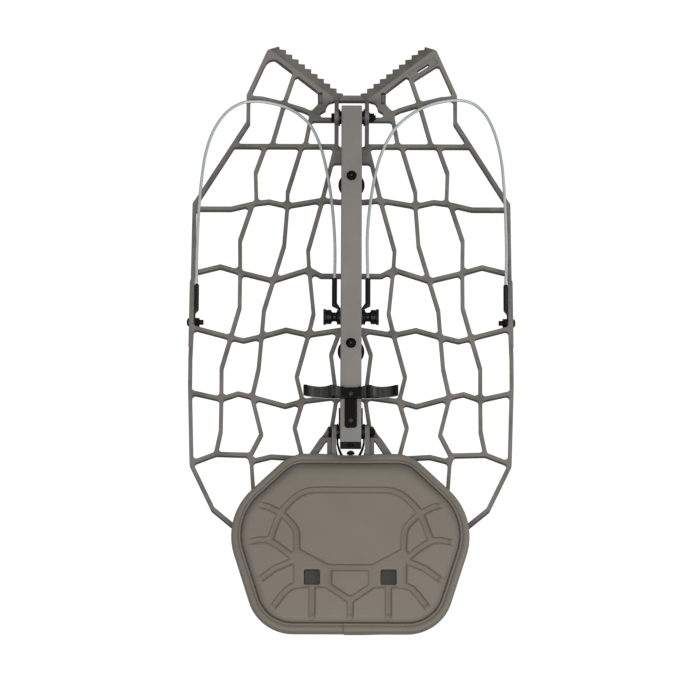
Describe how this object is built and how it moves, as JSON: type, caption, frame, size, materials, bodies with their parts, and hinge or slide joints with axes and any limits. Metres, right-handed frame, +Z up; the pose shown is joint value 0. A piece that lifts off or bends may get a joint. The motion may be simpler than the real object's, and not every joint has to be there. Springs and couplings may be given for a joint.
{
  "type": "hang-on tree stand",
  "caption": "Folding hang-on tree stand: cast web platform with a toothed V claw, hinged square post, cable stays, tree bracket and a padded flip-up seat.",
  "frame": {"origin": "centre of the folded stand's box in X and Y, on the floor under the platform's rails", "axes": "+Z up, towards the side that faces the tree in use; +Y along the stand towards the V claw; +X to the right"},
  "size_m": [0.5122, 0.983, 0.08],
  "materials": {
    "paint": "cast aluminium with a fine satin powder coat",
    "black_steel": "black oxide, satin",
    "black_bracket": "black powder coat, satin",
    "lug": "black crimped lug, satin",
    "black_plastic": "moulded, matte",
    "cap_paint": "moulded, satin, in the paint's colour",
    "bush": "plain bearing bronze",
    "bumper": "moulded rubber",
    "cushion": "moulded foam in a fine taupe fabric skin",
    "patch": "dark woven patch",
    "cable": "steel cable in a clear grey vinyl coat"
  },
  "bodies": {
    "platform": {"platform_casting": "paint", "platform_hinge_bolt": "black_steel", "platform_hinge_nut": "black_steel", "platform_hinge_washers": "black_plastic", "cable_bolts": "black_steel", "cable_bolt_nuts": "black_steel", "outer_cable_lug_left": "lug", "outer_cable_lug_right": "lug", "cable_left": "cable", "cable_right": "cable"},
    "post": {"post_tube": "paint", "post_cap_hinge_end": "cap_paint", "post_cap_seat_end": "black_plastic", "post_hinge_bush": "bush", "post_cross_bush": "bush", "post_seat_bush": "bush", "packing_button_upper": "black_plastic", "packing_button_lower": "black_plastic", "button_bolts": "black_steel", "button_nuts": "black_steel", "cross_bolt": "black_steel", "inner_cable_lug_left": "lug", "inner_cable_lug_right": "lug", "tree_bracket": "black_bracket", "bracket_plate": "black_bracket", "bracket_screws": "black_steel", "post_side_plates": "black_steel"},
    "seat_hinge": {"seat_hinge_bolt": "black_steel", "seat_hinge_nut": "black_steel"},
    "seat": {"seat_frame": "paint", "seat_bail": "black_steel", "seat_bumper": "bumper", "seat_pan": "black_plastic", "pan_screws": "black_steel", "seat_cushion": "cushion", "cushion_patches": "patch"},
    "knob_left": {"knob_left": "black_plastic"},
    "knob_right": {"knob_right": "black_plastic"}
  },
  "joints": [
    {"name": "post_fold", "type": "hinge", "parent": "platform", "child": "post", "pos_m": [0, 0.352, 0.043], "axis": [-1, 0, 0], "range_deg": [0, 90]},
    {"name": "seat_level", "type": "hinge", "parent": "post", "child": "seat_hinge", "pos_m": [0, -0.171, 0.043], "axis": [-1, 0, 0], "range_deg": [-90, 0]},
    {"name": "seat_flip", "type": "hinge", "parent": "seat_hinge", "child": "seat", "pos_m": [0, -0.171, 0.043], "axis": [-1, 0, 0], "range_deg": [0, 90]},
    {"name": "knob_left_spin", "type": "hinge", "parent": "post", "child": "knob_left", "pos_m": [-0.03, 0.016, 0.043], "axis": [1, 0, 0], "continuous": true},
    {"name": "knob_right_spin", "type": "hinge", "parent": "post", "child": "knob_right", "pos_m": [0.03, 0.016, 0.043], "axis": [1, 0, 0], "continuous": true}
  ],
  "couplings": [
    {"joint": "seat_level", "follows": "post_fold", "ratio": -1}
  ]
}
